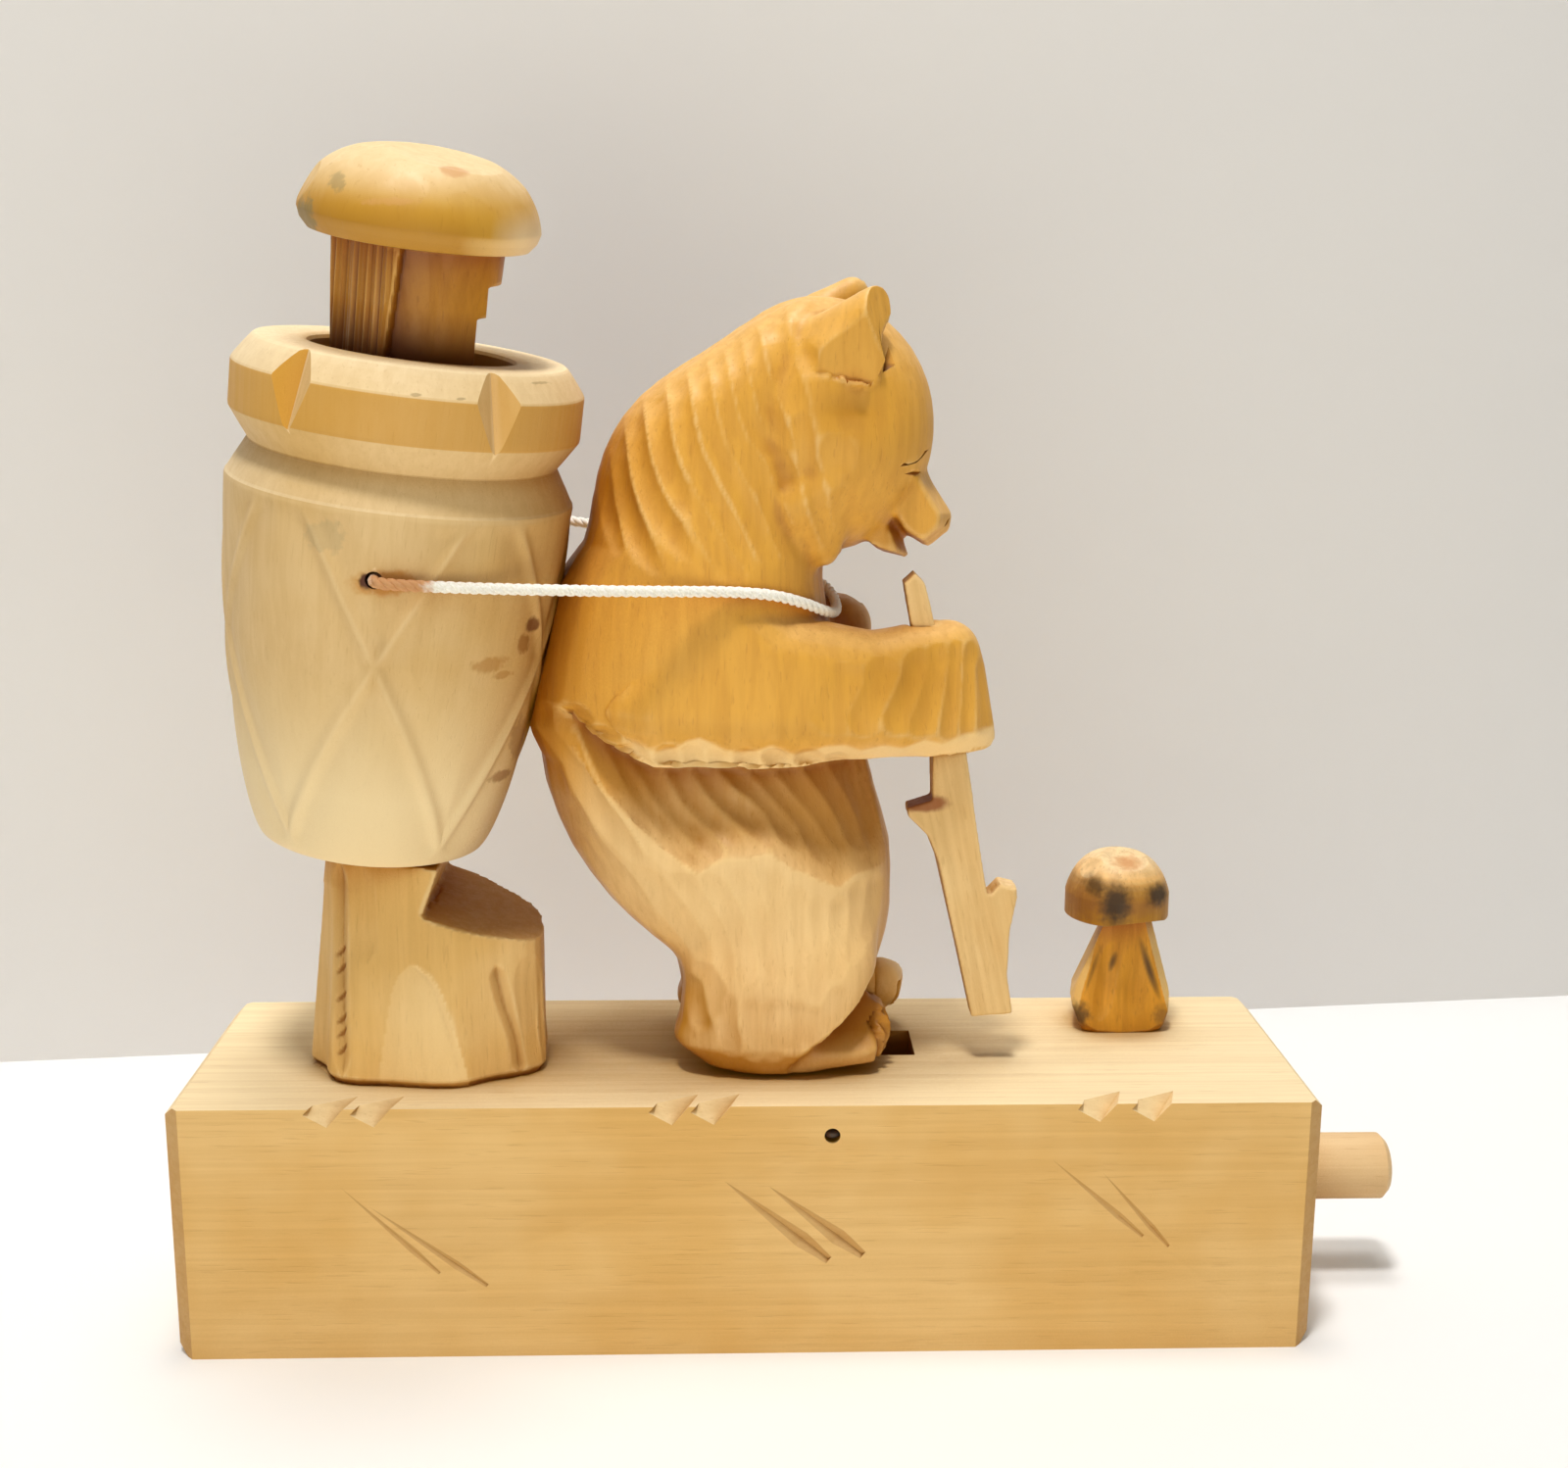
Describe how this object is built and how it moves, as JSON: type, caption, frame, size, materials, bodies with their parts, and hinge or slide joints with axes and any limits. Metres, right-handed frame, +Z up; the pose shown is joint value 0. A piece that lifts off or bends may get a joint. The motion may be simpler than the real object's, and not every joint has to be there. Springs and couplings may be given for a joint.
{
  "type": "carved wooden push toy",
  "caption": "Carved wooden bear with a pack basket and stick on a block; pressing the button in the block's end makes it bow.",
  "frame": {"origin": "middle of the base block's underside", "axes": "+X along the block towards the push button, the way the bear faces; +Y from the front to the back; +Z up"},
  "size_m": [0.2005, 0.0573, 0.1864],
  "materials": {
    "base_wood": "bare pale linden, fine sawn grain",
    "bear_wood": "honey varnish over gouge cuts",
    "basket_wood": "turned and scraped, bare",
    "dowel_wood": "whittled, bare",
    "mushroom_wood": "thin varnish",
    "stump_wood": "gouged, bare",
    "scorched_wood": "varnished, scorched in places",
    "cotton_cord": "twisted cotton",
    "nail_steel": "dark clipped end"
  },
  "bodies": {
    "base": {"base_block": "base_wood", "pivot_nail": "nail_steel", "stop_nail": "nail_steel", "stump": "stump_wood", "stump_dowel": "dowel_wood", "ground_mushroom_stem": "scorched_wood", "ground_mushroom_cap": "scorched_wood"},
    "bear": {"bear_carving": "bear_wood", "bear_lever": "base_wood", "walking_stick": "dowel_wood", "basket": "basket_wood", "back_dowel": "dowel_wood", "basket_mushroom_stem": "mushroom_wood", "basket_mushroom_cap": "mushroom_wood", "shoulder_cord": "cotton_cord"},
    "button": {"push_button": "dowel_wood"}
  },
  "joints": [
    {"name": "bear_rock", "type": "hinge", "parent": "base", "child": "bear", "pos_m": [0.013, 0.0025, 0.037], "axis": [0, 1, 0], "range_deg": [0, 10]},
    {"name": "button_press", "type": "slide", "parent": "base", "child": "button", "axis": [-1, 0, 0], "range_m": [0, 0.003]}
  ],
  "couplings": [
    {"joint": "button_press", "follows": "bear_rock", "m_per_rad": 0.01677}
  ]
}
